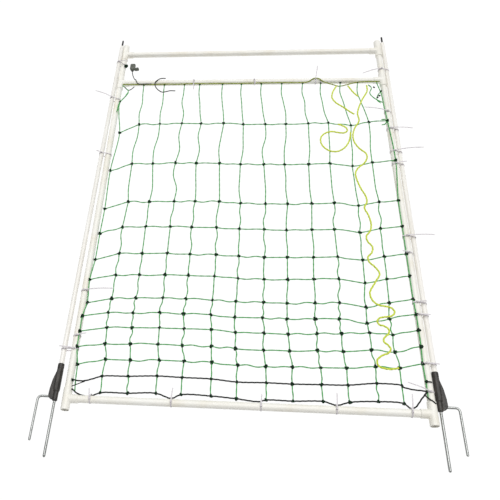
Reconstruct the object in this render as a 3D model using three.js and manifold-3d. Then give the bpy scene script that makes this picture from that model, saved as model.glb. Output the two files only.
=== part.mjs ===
import * as THREE from 'three';
import { ConvexGeometry } from 'three/addons/geometries/ConvexGeometry.js';
import { mergeVertices } from 'three/addons/utils/BufferGeometryUtils.js';
import ManifoldModule from 'manifold-3d';

// Poultry netting gate, lying flat. X runs across the gate, Y runs up it from
// the bottom rail, and Z is up from the floor. All sizes are in millimetres.

const wasm = await ManifoldModule();
wasm.setup();
const { Manifold, Mesh: ManifoldMesh } = wasm;

// Frame: plastic pipe pushed into tees
const GATE_WIDTH = 1000;
const NET_RAIL_Y = 1262;
const TOP_RAIL_Y = 1425;
const PIPE_OD = 21.3;
const PIPE_WALL = 2.8;
const TEE_OD = 25.4;
const TEE_REACH = 33;
const TOP_REACH = 50;
const TEE_BORE = 16;
const SOCKET_DEPTH = 17.5;
const FIT = 0.3;

// Posts: a rod in a moulded foot with a ground spike and a tread spike
const POST_OD = 15;
const POST_LENGTH = 1416;
const POST_SOCKET = 62;
const FOOT_LENGTH = 110;
const FOOT_SLEEVE_OD = 19;
const FOOT_NECK_OD = 14.8;
const FOOT_NECK_LENGTH = 26;
const FOOT_WEB = 9;
const FOOT_REACH = 17;
const SPIKE_OD = 8;
const SPIKE_LENGTH = 155;
const SPIKE_SOCKET = 34;
const TREAD_OD = 7;
const TREAD_REACH = 50;
const TREAD_DROP = 125;
const TREAD_HEIGHT = 12;
const TREAD_ROOT = 7.5;
const TIP_OD = 7;
const TIP_LENGTH = 35;
const TIP_SOCKET = 14;
const FOOT_AXIS_Z = 9.8;
const POST_GAP = 1.6;
const RIGHT_FOOT_Y = 8;
const LEFT_FOOT_Y = -7;
const LEFT_FOOT_OFFSET = 35;
const LEFT_TOP_OFFSET = 14.5;

// Netting: square twine knotted into columns and rows
const TWINE = 3;
const NET_Z = 3.9;
const COLUMNS = 14;
const SELVAGE_INSET = 10;
const RAMP = 26;
const CROSSING = 0.2;
const FIRST_ROW_Y = 34;
const ROW_GAPS = [50, 50, 50, 50, 50, 50, 78, 78, 102, 102, 165, 184];
const BLACK_ROWS = 2;
const TOP_LINE_GAP = 18;
const LINE = 4;
const ROPE_OD = 6;
const LEAD = 2.4;

// Cable ties
const TIE_WIDTH = 3.6;
const TIE_THICK = 1.2;
const TIE_HEAD = 5.5;
const TIE_CLEAR = 0.3;

const PIPE_R = PIPE_OD / 2;
const TEE_R = TEE_OD / 2;
const POST_R = POST_OD / 2;
const STILE_X = GATE_WIDTH / 2;
const AXIS_Z = TEE_R;
const TEE_STANDOFF = TEE_R + POST_R + POST_GAP;
const RIGHT_POST_X = STILE_X + Math.sqrt(TEE_STANDOFF ** 2 - (AXIS_Z - FOOT_AXIS_Z) ** 2);
const LEFT_TOP_Z = AXIS_Z + Math.sqrt(TEE_STANDOFF ** 2 - LEFT_TOP_OFFSET ** 2);
const SELVAGE_X = STILE_X - SELVAGE_INSET;
const PITCH = (2 * SELVAGE_X) / (COLUMNS - 1);
const SELVAGE_Z = AXIS_Z + Math.sqrt((TEE_R + TWINE * Math.SQRT1_2 + FIT) ** 2 - SELVAGE_INSET ** 2);
const LINE_LIFT = TWINE / 2 + LINE / 2 + FIT;
const TOP_LINE_Y = NET_RAIL_Y - TOP_LINE_GAP;
const ROPE_Z = NET_Z + TWINE / 2 + FIT + ROPE_OD / 2;
const BAND_TOP_Z = AXIS_Z + PIPE_R + TIE_CLEAR + TIE_THICK;

const ROUND = 24;
const FINE = 12;
const TIE_SIDES = 16;

const plastic = (color, roughness) => new THREE.MeshStandardMaterial({ color, roughness, metalness: 0 });
const materials = {
  pipe: plastic(0xeeebdf, 0.45),
  post: plastic(0xf1efe6, 0.5),
  foot: plastic(0x26241f, 0.6),
  tip: plastic(0x1b1a1c, 0.55),
  twine: plastic(0x5f8a70, 0.8),
  blackLine: plastic(0x2b2e2c, 0.75),
  topLine: plastic(0xb9c46a, 0.75),
  rope: plastic(0xdbe26c, 0.7),
  tie: plastic(0xe9e9e4, 0.4),
  clip: plastic(0x3c3f38, 0.6),
  knob: plastic(0xc9cbc6, 0.5),
  steel: new THREE.MeshStandardMaterial({ color: 0xa7aaa6, roughness: 0.4, metalness: 0.8 }),
};

const gate = new THREE.Group();
const cords = new Set();

// Closed geometry to a solid that can be joined and cut
function toSolid(geometry) {
  const bare = geometry.clone();
  bare.deleteAttribute('normal');
  bare.deleteAttribute('uv');
  const merged = mergeVertices(bare);
  return new Manifold(new ManifoldMesh({
    numProp: 3,
    vertProperties: merged.attributes.position.array,
    triVerts: Uint32Array.from(merged.index.array),
  }));
}

function toGeometry(solid) {
  const { vertProperties, triVerts, numProp } = solid.getMesh();
  const count = vertProperties.length / numProp;
  const positions = new Float32Array(count * 3);
  for (let i = 0; i < count; i += 1) {
    positions.set(vertProperties.subarray(i * numProp, i * numProp + 3), i * 3);
  }
  const geometry = new THREE.BufferGeometry();
  geometry.setAttribute('position', new THREE.BufferAttribute(positions, 3));
  geometry.setIndex(new THREE.BufferAttribute(new Uint32Array(triVerts), 1));
  geometry.computeVertexNormals();
  return geometry;
}

function join(geometries) {
  return toGeometry(Manifold.union(geometries.map(toSolid)));
}

function cut(geometry, tools) {
  return toGeometry(tools.map(toSolid).reduce((whole, tool) => whole.subtract(tool), toSolid(geometry)));
}

function addMesh(name, geometry, material, parent = gate) {
  const mesh = new THREE.Mesh(geometry, material);
  mesh.name = name;
  parent.add(mesh);
  return mesh;
}

// Cylinders that start at the origin and run along +Y or +X
const rodY = (length, radius, segments = ROUND) =>
  new THREE.CylinderGeometry(radius, radius, length, segments).translate(0, length / 2, 0);
const rodX = (length, radius, segments = ROUND) => rodY(length, radius, segments).rotateZ(-Math.PI / 2);

const pipeY = (length) =>
  cut(rodY(length, PIPE_R), [rodY(length + 2, PIPE_R - PIPE_WALL).translate(0, -1, 0)]);
const pipeX = (length) => pipeY(length).rotateZ(-Math.PI / 2);

// A tee whose run lies along Y, as far up as upReach, and whose branch points along +X
function teeGeometry(upReach) {
  const socketR = PIPE_R + FIT;
  const stop = TEE_REACH - SOCKET_DEPTH;
  const runLength = TEE_REACH + upReach;
  const run = rodY(runLength, TEE_R).translate(0, -TEE_REACH, 0);
  return cut(join([run, rodX(TEE_REACH, TEE_R)]), [
    rodY(runLength + 2, TEE_BORE / 2).translate(0, -TEE_REACH - 1, 0),
    rodX(TEE_REACH + 1, TEE_BORE / 2),
    rodY(SOCKET_DEPTH + 1, socketR).translate(0, upReach - SOCKET_DEPTH, 0),
    rodY(SOCKET_DEPTH + 1, socketR).translate(0, -TEE_REACH - 1, 0),
    rodX(SOCKET_DEPTH + 1, socketR).translate(stop, 0, 0),
  ]);
}

function addFrame() {
  const rails = [
    ['bottom', 0, TEE_REACH],
    ['net', NET_RAIL_Y, TEE_REACH],
    ['top', TOP_RAIL_Y, TOP_REACH],
  ];
  const stop = TEE_REACH - SOCKET_DEPTH + FIT;
  const railLength = GATE_WIDTH - 2 * stop;
  for (const [name, y, upReach] of rails) {
    addMesh(`${name}_rail`, pipeX(railLength), materials.pipe).position.set(-railLength / 2, y, AXIS_Z);
    addMesh(`${name}_tee_left`, teeGeometry(upReach), materials.pipe).position.set(-STILE_X, y, AXIS_Z);
    const right = addMesh(`${name}_tee_right`, teeGeometry(upReach), materials.pipe);
    right.position.set(STILE_X, y, AXIS_Z);
    right.rotation.y = Math.PI;
  }
  const stiles = [
    ['lower', stop, NET_RAIL_Y - stop],
    ['upper', NET_RAIL_Y + stop, TOP_RAIL_Y - stop],
  ];
  for (const [name, low, high] of stiles) {
    for (const [side, x] of [['left', -STILE_X], ['right', STILE_X]]) {
      addMesh(`${name}_stile_${side}`, pipeY(high - low), materials.pipe).position.set(x, low, AXIS_Z);
    }
  }
}

// Foot in its own frame: the axis is Y, the bottom face is at 0 and the tread is on +X
function footGeometry() {
  const sleeveLength = FOOT_LENGTH - FOOT_NECK_LENGTH;
  const sleeve = rodY(sleeveLength, FOOT_SLEEVE_OD / 2, 20).translate(0, FOOT_NECK_LENGTH, 0);
  const neck = rodY(FOOT_LENGTH - 1, FOOT_NECK_OD / 2, 20);
  const outline = new THREE.Shape([
    new THREE.Vector2(0, 0),
    new THREE.Vector2(FOOT_REACH - 2, 5),
    new THREE.Vector2(FOOT_REACH, TREAD_HEIGHT + TREAD_OD),
    new THREE.Vector2(FOOT_REACH - 4, FOOT_LENGTH * 0.4),
    new THREE.Vector2(FOOT_SLEEVE_OD / 2, FOOT_LENGTH * 0.7),
    new THREE.Vector2(0, FOOT_LENGTH * 0.7),
  ]);
  const web = new THREE.ExtrudeGeometry(outline, { depth: FOOT_WEB, bevelEnabled: false })
    .translate(0, 0, -FOOT_WEB / 2);
  return cut(join([sleeve, neck, web]), [
    rodY(POST_SOCKET + 1, POST_R + FIT, 20).translate(0, FOOT_LENGTH - POST_SOCKET, 0),
    rodY(SPIKE_SOCKET + 1, SPIKE_OD / 2 + FIT, FINE).translate(0, -1, 0),
    rodX(FOOT_REACH, TREAD_OD / 2 + FIT, FINE).translate(TREAD_ROOT - FIT, TREAD_HEIGHT, 0),
  ]);
}

// Pointed ground spike that hangs from the foot's bottom socket
function spikeGeometry() {
  const point = 26;
  const profile = [
    new THREE.Vector2(0, -SPIKE_LENGTH),
    new THREE.Vector2(0.6, -SPIKE_LENGTH),
    new THREE.Vector2(SPIKE_OD / 2, point - SPIKE_LENGTH),
    new THREE.Vector2(SPIKE_OD / 2, SPIKE_SOCKET - FIT),
    new THREE.Vector2(0, SPIKE_SOCKET - FIT),
  ];
  return new THREE.LatheGeometry(profile, FINE);
}

// Tread spike: out of the foot's side, round a bend and down beside the main spike
function treadGeometry() {
  const bend = 12;
  const path = new THREE.CurvePath();
  const start = new THREE.Vector3(TREAD_ROOT, TREAD_HEIGHT, 0);
  const turn = new THREE.Vector3(TREAD_REACH - bend, TREAD_HEIGHT, 0);
  const corner = new THREE.Vector3(TREAD_REACH, TREAD_HEIGHT, 0);
  const drop = new THREE.Vector3(TREAD_REACH, TREAD_HEIGHT - bend, 0);
  const end = new THREE.Vector3(TREAD_REACH, TREAD_HEIGHT - TREAD_DROP, 0);
  path.add(new THREE.LineCurve3(start, turn));
  path.add(new THREE.QuadraticBezierCurve3(turn, corner, drop));
  path.add(new THREE.LineCurve3(drop, end));
  const section = roundShape(TREAD_OD / 2, 10);
  return new THREE.ExtrudeGeometry(section, { steps: 28, extrudePath: path, bevelEnabled: false });
}

function roundShape(radius, sides) {
  const shape = new THREE.Shape();
  for (let i = 0; i < sides; i += 1) {
    const angle = (2 * Math.PI * i) / sides;
    const x = radius * Math.cos(angle);
    const y = radius * Math.sin(angle);
    if (i === 0) shape.moveTo(x, y);
    else shape.lineTo(x, y);
  }
  shape.closePath();
  return shape;
}

// One post with its foot, spikes and tip, on the matrix that lays it beside its stile
function addPost(side, matrix) {
  const group = new THREE.Group();
  const postStart = FOOT_LENGTH - POST_SOCKET + FIT;
  const tipStart = postStart + POST_LENGTH - TIP_SOCKET + FIT;
  const tipHole = rodY(TIP_SOCKET + 1, TIP_OD / 2 + FIT, FINE).translate(0, POST_LENGTH - TIP_SOCKET, 0);
  const post = cut(rodY(POST_LENGTH, POST_R), [tipHole]);
  const tip = rodY(TIP_LENGTH + TIP_SOCKET - FIT, TIP_OD / 2, FINE);
  addMesh(`${side}_post`, post, materials.post, group).position.y = postStart;
  addMesh(`${side}_foot`, footGeometry(), materials.foot, group);
  addMesh(`${side}_spike`, spikeGeometry(), materials.steel, group);
  addMesh(`${side}_tread_spike`, treadGeometry(), materials.steel, group);
  addMesh(`${side}_post_tip`, tip, materials.tip, group).position.y = tipStart;
  group.applyMatrix4(matrix);
  gate.add(group);
}

// The left post leans on the tees' shoulders at the top and lies low at the foot
function leftPostAt(y) {
  const t = (y - LEFT_FOOT_Y) / (TOP_RAIL_Y - LEFT_FOOT_Y);
  return {
    x: -STILE_X - LEFT_FOOT_OFFSET + t * (LEFT_FOOT_OFFSET - LEFT_TOP_OFFSET),
    z: FOOT_AXIS_Z + t * (LEFT_TOP_Z - FOOT_AXIS_Z),
  };
}

// The treads of both posts point away from the gate
function addPosts() {
  addPost('right', new THREE.Matrix4().makeTranslation(RIGHT_POST_X, RIGHT_FOOT_Y, FOOT_AXIS_Z));
  const foot = leftPostAt(LEFT_FOOT_Y);
  const top = leftPostAt(TOP_RAIL_Y);
  const along = new THREE.Vector3(top.x - foot.x, TOP_RAIL_Y - LEFT_FOOT_Y, top.z - foot.z).normalize();
  const outward = new THREE.Vector3().crossVectors(new THREE.Vector3(0, 0, 1), along).normalize();
  const down = new THREE.Vector3().crossVectors(outward, along);
  const matrix = new THREE.Matrix4().makeBasis(outward, along, down);
  matrix.setPosition(foot.x, LEFT_FOOT_Y, foot.z);
  addPost('left', matrix);
}

// Corners of a box about a point
function corners([x, y, z], [width, length, height]) {
  const points = [];
  for (const i of [-0.5, 0.5]) {
    for (const j of [-0.5, 0.5]) {
      for (const k of [-0.5, 0.5]) {
        points.push(new THREE.Vector3(x + i * width, y + j * length, z + k * height));
      }
    }
  }
  return points;
}

// A bar between two points with the same box at each end
const bar = (from, to, size) => new ConvexGeometry([...corners(from, size), ...corners(to, size)]);

// A square strand through the given points, as bars for each stretch
function strand(points, width) {
  return points.slice(1).map((point, i) => bar(points[i], point, [width, width, width]));
}

// A row goes over the left stile, down to the net's plane and up over the right stile,
// and its own middle is a little lower than the columns that it crosses
function rowPoints(y, lift = -CROSSING) {
  const low = NET_Z + lift;
  const high = SELVAGE_Z + lift;
  const shoulder = SELVAGE_X - TWINE - LINE / 2;
  return [
    [-SELVAGE_X, y, high],
    [-shoulder, y, high],
    [-SELVAGE_X + RAMP, y, low],
    [SELVAGE_X - RAMP, y, low],
    [shoulder, y, high],
    [SELVAGE_X, y, high],
  ];
}

const ROW_Y = ROW_GAPS.reduce((rows, gap) => [...rows, rows[rows.length - 1] + gap], [FIRST_ROW_Y]);
const columnX = (column) => -SELVAGE_X + column * PITCH;

function addNetting() {
  const strands = ROW_Y.slice(BLACK_ROWS).flatMap((y) => strand(rowPoints(y), TWINE));
  const lowest = FIRST_ROW_Y - LINE;
  for (let i = 0; i < COLUMNS; i += 1) {
    const x = columnX(i);
    const z = i === 0 || i === COLUMNS - 1 ? SELVAGE_Z : NET_Z;
    strands.push(...strand([[x, lowest, z], [x, TOP_LINE_Y + LINE, z]], TWINE));
  }
  addMesh('netting', join(strands), materials.twine);
  ROW_Y.slice(0, BLACK_ROWS).forEach((y, i) => {
    addMesh(`black_line_${i + 1}`, join(strand(rowPoints(y, LINE_LIFT), LINE)), materials.blackLine);
  });
  addMesh('top_line', join(strand(rowPoints(TOP_LINE_Y, LINE_LIFT), LINE)), materials.topLine);
}

// Yellow rope: the points are chosen along its waves as it lies on the net
const ROPES = {
  yellow_rope: [
    [441, 1241.7], [440, 1212], [417, 1164], [396, 1100], [398, 1062], [379, 1023], [371, 990], [374, 959],
    [389, 930], [408, 909], [411, 891], [400, 866], [376, 842], [366, 819], [369, 790], [379, 754],
    [391, 724], [393, 700], [383, 676], [393, 646], [398, 612], [393, 586], [379, 565], [381, 546],
    [394, 525], [390, 504], [377, 488], [379, 470], [394, 453], [406, 429], [391, 400], [371, 362],
    [377, 336], [393, 322], [414, 318], [430, 312], [436, 300], [427, 288], [410, 284], [394, 281],
    [384, 272], [387, 259], [402, 254], [413, 244], [411, 230], [399, 219], [395, 206], [406, 195],
    [412, 183], [404, 171], [386, 163], [371, 148], [374, 131], [401, 123], [428, 127],
  ],
  rope_strand: [
    [330, 1240.4], [314, 1206], [310, 1178], [323, 1152], [348, 1129], [368, 1108], [384, 1094],
  ],
  rope_end: [
    [372, 1240.2], [390, 1204], [405, 1184],
  ],
  rope_loop: [
    [322, 1046], [338, 1038], [350, 1028], [353, 1014], [342, 1004], [322, 1005], [300, 1010], [278, 1004],
    [262, 988], [257, 965], [266, 938], [287, 920], [311, 917], [336, 932], [353, 958], [361, 985],
    [364, 1008],
  ],
};

function addRopes() {
  const section = roundShape(ROPE_OD / 2, 8);
  for (const [name, points] of Object.entries(ROPES)) {
    const path = new THREE.CatmullRomCurve3(points.map(([x, y]) => new THREE.Vector3(x, y, ROPE_Z)));
    const steps = Math.min(80, Math.round(path.getLength() / (3 * ROPE_OD)) + 6);
    const geometry = new THREE.ExtrudeGeometry(section, { steps, extrudePath: path, bevelEnabled: false });
    cords.add(addMesh(name, geometry, materials.rope));
  }
}

// Points round a circle at both edges of a band; place turns circle and width into a point
function ring([u, v, radius], halfWidth, place) {
  const points = [];
  for (let i = 0; i < TIE_SIDES; i += 1) {
    const angle = (2 * Math.PI * i) / TIE_SIDES;
    for (const w of [-halfWidth, halfWidth]) {
      points.push(place(u + radius * Math.cos(angle), v + radius * Math.sin(angle), w));
    }
  }
  return points;
}

// Band that wraps round bars, given as circles in the plane across the bars
function band(circles, place) {
  const wrapped = (extra, halfWidth) =>
    new ConvexGeometry(circles.flatMap(([u, v, radius]) => ring([u, v, radius + extra], halfWidth, place)));
  return cut(wrapped(TIE_CLEAR + TIE_THICK, TIE_WIDTH / 2), [wrapped(TIE_CLEAR, TIE_WIDTH)]);
}

// Whole tie: band, head, and the free end that runs from the head to a point
function tieGeometry(loop, head, end) {
  const block = new THREE.BoxGeometry(TIE_HEAD, TIE_HEAD, TIE_HEAD).translate(...head);
  return join([loop, block, bar(head, end, [TIE_THICK, TIE_WIDTH, TIE_THICK])]);
}

const HEAD_LIFT = TIE_HEAD / 2 - TIE_THICK / 2;
const HEAD_SINK = 0.6;
const ACROSS_STILE = (u, v, w) => new THREE.Vector3(u, w, v);
const ACROSS_RAIL = (u, v, w) => new THREE.Vector3(w, u, v);

// Tie round a stile, the selvage where there is one, and the post where it holds that too
function addStileTie(name, sign, y, withPost, out, up) {
  const circles = [[sign * STILE_X, AXIS_Z, PIPE_R]];
  if (y < TOP_LINE_Y) circles.push([sign * SELVAGE_X, SELVAGE_Z, TWINE * Math.SQRT1_2]);
  if (withPost) {
    const post = sign > 0 ? { x: RIGHT_POST_X, z: FOOT_AXIS_Z } : leftPostAt(y);
    circles.push([post.x, post.z, POST_R]);
  }
  const highest = circles.reduce((best, next) => (next[1] + next[2] > best[1] + best[2] ? next : best));
  const top = highest[1] + highest[2] + TIE_CLEAR + TIE_THICK;
  const head = [highest[0], 0, top + HEAD_LIFT - HEAD_SINK];
  const end = [sign * (STILE_X + out), up, top + TIE_HEAD / 2];
  addMesh(name, tieGeometry(band(circles, ACROSS_STILE), head, end), materials.tie).position.y = y;
}

// Tie round a rail and the line that it holds
function addRailTie(name, x, railY, lineY, along, up) {
  const circles = [
    [railY, AXIS_Z, PIPE_R],
    [lineY, NET_Z + LINE_LIFT, LINE * Math.SQRT1_2],
  ];
  const head = [0, railY, BAND_TOP_Z + HEAD_LIFT - HEAD_SINK];
  const end = [along, railY + up, BAND_TOP_Z + TIE_HEAD / 2];
  addMesh(name, tieGeometry(band(circles, ACROSS_RAIL), head, end), materials.tie).position.x = x;
}

// Each stile tie: height up the gate, whether it holds the post, and how far its tail
// ends from the stile's axis, towards the outside of the gate, and above the tie
const RIGHT_TIES = [
  [1314, true, -73, -28],
  [1094, false, -82, 17],
  [1012, true, 75, -4],
  [908, true, 100, 12],
  [852, true, 36, 6],
  [560, true, 84, 2],
  [498, false, -22, 4],
  [328, true, 28, 2],
  [288, true, 31, -2],
  [139, true, 34, -3],
  [58, false, -59, 23],
];
const LEFT_TIES = [
  [1362, true, -24, -2],
  [1168, true, 86, 32],
  [895, true, 40, 6],
  [342, false, -94, 6],
  [190, false, -30, 6],
  [148, true, 45, 4],
];
// Each rail tie: which column it follows, how far it is past that column, and its tail
const BOTTOM_TIES = [
  [0, 58, -4, 29],
  [3, 62, 3, 39],
  [7, 8, 2, 32],
  [9, 60, 2, 44],
  [13, -45, 4, 49],
];
const NET_RAIL_TIES = [
  [3, 54, 2, -52],
  [6, 60, 4, -22],
  [9, 64, 10, 68],
];

function addTies() {
  for (const [side, sign, ties] of [['right', 1, RIGHT_TIES], ['left', -1, LEFT_TIES]]) {
    ties.forEach(([y, withPost, out, up], i) => {
      addStileTie(`${side}_tie_${i + 1}`, sign, y, withPost, out, up);
    });
  }
  BOTTOM_TIES.forEach(([column, past, along, up], i) => {
    addRailTie(`bottom_tie_${i + 1}`, columnX(column) + past, 0, FIRST_ROW_Y, along, up);
  });
  NET_RAIL_TIES.forEach(([column, past, along, up], i) => {
    addRailTie(`net_rail_tie_${i + 1}`, columnX(column) + past, NET_RAIL_Y, TOP_LINE_Y, along, up);
  });
}

// Energiser lead on the left: a knot beside the stile, a clip and the wire down to the net
function addLead() {
  const lump = (x, y, length, width, height) =>
    new THREE.SphereGeometry(0.5, 12, 8).scale(width, length, height).translate(x, y, height / 2 + FIT);
  const knotX = -STILE_X + PIPE_R + 3.55;
  const knot = lump(knotX, TOP_RAIL_Y - 76, 21, 15, 13).translate(0, 0, AXIS_Z + 4.4);
  addMesh('lead_knot', knot, materials.twine);
  const clip = lump(knotX + 24, TOP_RAIL_Y - 68, 38, 25, 18);
  const knob = lump(knotX + 42, TOP_RAIL_Y - 75, 24, 18, 14);
  addMesh('lead_clip', join([clip, knob]), materials.clip);
  const over = NET_RAIL_Y + PIPE_R;
  const top = AXIS_Z + PIPE_R + LEAD / 2 + FIT;
  const lead = [
    [knotX + 24, TOP_RAIL_Y - 87 - LEAD / 2 - FIT, 9],
    [knotX + 28, TOP_RAIL_Y - 109, 8],
    [knotX + 40, over + 14, 9],
    [knotX + 47, over, top],
    [knotX + 56, NET_RAIL_Y - PIPE_R, top],
    [knotX + 62, TOP_LINE_Y - 12, NET_Z + TWINE + LEAD],
  ];
  addMesh('lead_wire', join(strand(lead, LEAD)), materials.blackLine);
  const curlX = columnX(2);
  const curl = [
    [curlX + 19, NET_RAIL_Y + 22, top],
    [curlX - 3, NET_RAIL_Y + 16, top],
    [curlX - 17, NET_RAIL_Y - 4, top],
    [curlX - 9, NET_RAIL_Y - 30, 14],
    [curlX + 21, NET_RAIL_Y - 36, 10],
    [curlX + 55, NET_RAIL_Y - 36, 10],
  ];
  addMesh('wire_curl', join(strand(curl, LEAD)), materials.blackLine);
}

addFrame();
addPosts();
addNetting();
addRopes();
addTies();
addLead();

// Rest the gate on the floor with the middle of its box, cords left out, at the origin
const box = new THREE.Box3();
for (const piece of gate.children) {
  if (!cords.has(piece)) box.expandByObject(piece, true);
}
const centre = box.getCenter(new THREE.Vector3());
gate.position.set(-centre.x, -centre.y, -box.min.z);

export default gate;
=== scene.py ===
"""Poultry netting gate lying flat: a plastic pipe frame strung with knotted twine, and two step-in posts.

Shapes are worked out in gate millimetres: X across from the middle of the gate, Y up from the
bottom rail's axis and Z up from the floor. place() turns them into the frame's metres.
"""
import math
import random

import bmesh
import bpy
from mathutils import Matrix, Vector


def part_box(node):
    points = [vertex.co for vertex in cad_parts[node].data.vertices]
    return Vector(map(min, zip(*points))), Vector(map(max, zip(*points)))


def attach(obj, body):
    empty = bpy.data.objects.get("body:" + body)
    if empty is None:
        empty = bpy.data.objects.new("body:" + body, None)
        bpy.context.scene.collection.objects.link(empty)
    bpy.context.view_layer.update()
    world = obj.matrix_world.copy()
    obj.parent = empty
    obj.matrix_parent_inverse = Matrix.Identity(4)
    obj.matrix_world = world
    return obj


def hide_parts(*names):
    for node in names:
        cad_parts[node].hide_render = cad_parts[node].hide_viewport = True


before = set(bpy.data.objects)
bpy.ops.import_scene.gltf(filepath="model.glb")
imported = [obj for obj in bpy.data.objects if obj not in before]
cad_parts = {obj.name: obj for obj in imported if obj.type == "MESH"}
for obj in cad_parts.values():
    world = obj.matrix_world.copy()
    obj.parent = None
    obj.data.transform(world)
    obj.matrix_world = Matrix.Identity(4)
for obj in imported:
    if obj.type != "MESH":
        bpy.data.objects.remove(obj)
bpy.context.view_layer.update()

MM = 0.001

# Frame of pipe and tees
STILE_X = 500
NET_RAIL_Y = 1262
TOP_RAIL_Y = 1425
PIPE_R = 10.65
PIPE_BORE_R = 7.85
TEE_R = 12.7
TEE_REACH = 33
TOP_REACH = 50
SOCKET_DEPTH = 17.5
SOCKET_R = 10.95
TEE_BORE_R = 8
AXIS_Z = 12.7
PIPE_STOP = TEE_REACH - SOCKET_DEPTH + 0.3

# Posts
POST_R = 7.5
POST_LENGTH = 1416
POST_START = 48.3
FOOT_LENGTH = 110
FOOT_NECK = 26
FOOT_REACH = 17
SPIKE_R = 4
SPIKE_LENGTH = 155
SPIKE_SOCKET = 34
TREAD_R = 3.5
TREAD_REACH = 50
TREAD_HEIGHT = 12
TREAD_DROP = 125
TIP_R = 3.5
TIP_LENGTH = 35
FOOT_Z = 9.8
POST_STANDOFF = TEE_R + POST_R + 1.6
RIGHT_FOOT_Y = 8
LEFT_FOOT_Y = -7
LEFT_FOOT_OFFSET = 35
LEFT_TOP_OFFSET = 14.5
RIGHT_POST_X = STILE_X + math.sqrt(POST_STANDOFF ** 2 - (AXIS_Z - FOOT_Z) ** 2)
LEFT_TOP_Z = AXIS_Z + math.sqrt(POST_STANDOFF ** 2 - LEFT_TOP_OFFSET ** 2)

# Netting
TWINE_R = 1.75
TWINE_LAY = 22
TWINE_FLUFF = 1.15
LINE_R = 2.4
STRAND_STEP = 3
ROPE_R = 3
ROPE_LAY = 13
ROPE_STEP = 1.6
NET_Z = 3.9
ROPE_Z = 8.7
COLUMNS = 14
SELVAGE_X = 490
PITCH = 2 * SELVAGE_X / (COLUMNS - 1)
ROW_Y = [34, 84, 134, 184, 234, 284, 334, 412, 490, 592, 694, 859, 1043]
BLACK_ROWS = 2
TOP_LINE_Y = 1250
TOP_LINE_Z = 19
SELVAGE_TOP_Y = 1244

# How far the knots have drifted from the even grid, in mm, read off the photograph
COLUMN_DRIFT = [0, 3, 4, 11, 8, 16, 13, 19, 16, 22, 19, 21, 12, 0]
ROW_DRIFT = [4, 3, 4, -2, -3, -6, -3, -1, 1, 0, 5, 0, 7]
COLUMN_LIFT = [-31, -3, -1, 2, 1, 0, -5, -6, -6, -3, -1, -12, 3, 4]
ROW_LIFT = [-8, -8, -8, -9, -6, -7, -6, -2, 0, 2, 5, 8, 13]
LEFT_SELVAGE_DRIFT = [8, 6, 4, -2, -2, -2, 3, 1, 5, 6, 8, 6, 16]
RIGHT_SELVAGE_DRIFT = [1, 1, 0, 2, 2, 2, 0, 0, 0, 0, 0, 10, 3]
SLACK_COLUMN = 11
SLACK_ROWS = 5
SLACK_LIFT = 18
TOP_DRIFT = [2, 10, 15, 18, 2, 14, 11, 11, 13, 15, 7, 4, -8, -14]

# Cable ties
TIE_WIDTH = 3.6
TIE_THICK = 1.2
TIE_HEAD = 5.5
TIE_CLEAR = 0.3


def srgb(red, green, blue):
    """Linear colour from 8-bit display values."""
    linear = []
    for value in (red, green, blue):
        share = value / 255
        linear.append(share / 12.92 if share <= 0.04045 else ((share + 0.055) / 1.055) ** 2.4)
    return (*linear, 1.0)


BOX_LOW, BOX_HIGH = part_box("bottom_rail")
ORIGIN = Vector(((BOX_LOW[0] + BOX_HIGH[0]) / 2, (BOX_LOW[1] + BOX_HIGH[1]) / 2, 0))


def place(point):
    """Gate millimetres to the frame's metres."""
    return ORIGIN + Vector(point) * MM


# Camera


def add_camera():
    """Camera fitted to the five pipe lines of the photograph, which is an off-centre crop."""
    position = (-8.98, -505.46, 1647.8)
    tilt = math.radians(57.919)
    heading = math.radians(-11.212)
    roll = math.radians(8.601)
    focal_px = 600
    centre_x_px = 181.1
    image_px = 500
    level_ahead = Vector((math.sin(heading), math.cos(heading), 0))
    forward = level_ahead * math.cos(tilt) - Vector((0, 0, math.sin(tilt)))
    level = Vector((math.cos(heading), -math.sin(heading), 0))
    steep = forward.cross(level)
    right = math.cos(roll) * level + math.sin(roll) * steep
    down = math.cos(roll) * steep - math.sin(roll) * level
    data = bpy.data.cameras.new("camera")
    data.sensor_width = 36
    data.lens = focal_px / image_px * data.sensor_width
    data.shift_x = (image_px / 2 - centre_x_px) / image_px
    data.clip_start = 0.05
    data.clip_end = 50
    camera = bpy.data.objects.new("camera", data)
    axes = Matrix((right, -down, -forward)).transposed().to_4x4()
    camera.matrix_world = Matrix.Translation(place(position)) @ axes
    bpy.context.scene.collection.objects.link(camera)
    bpy.context.scene.camera = camera


# Materials


def new_material(name, colour, roughness, metallic=0.0, specular=0.5):
    """Principled material with its even values on the shader's own sockets."""
    material = bpy.data.materials.new(name)
    material.use_nodes = True
    shader = material.node_tree.nodes["Principled BSDF"]
    shader.inputs["Base Color"].default_value = colour
    shader.inputs["Roughness"].default_value = roughness
    shader.inputs["Metallic"].default_value = metallic
    shader.inputs["Specular IOR Level"].default_value = specular
    return material


def noise(material, per_mm, stretch=(1, 1, 1), detail=4):
    """Noise in object space with about per_mm cells in each millimetre."""
    nodes, links = material.node_tree.nodes, material.node_tree.links
    where = nodes.new("ShaderNodeTexCoord")
    mapping = nodes.new("ShaderNodeMapping")
    mapping.inputs["Scale"].default_value = stretch
    texture = nodes.new("ShaderNodeTexNoise")
    texture.inputs["Scale"].default_value = per_mm / MM
    texture.inputs["Detail"].default_value = detail
    links.new(where.outputs["Object"], mapping.inputs["Vector"])
    links.new(mapping.outputs["Vector"], texture.inputs["Vector"])
    return texture.outputs["Fac"]


def ramp(material, factor, stops):
    node = material.node_tree.nodes.new("ShaderNodeValToRGB")
    elements = node.color_ramp.elements
    while len(elements) < len(stops):
        elements.new(0.5)
    for element, (position, colour) in zip(elements, stops):
        element.position = position
        element.color = colour
    material.node_tree.links.new(factor, node.inputs["Fac"])
    return node.outputs["Color"]


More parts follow.
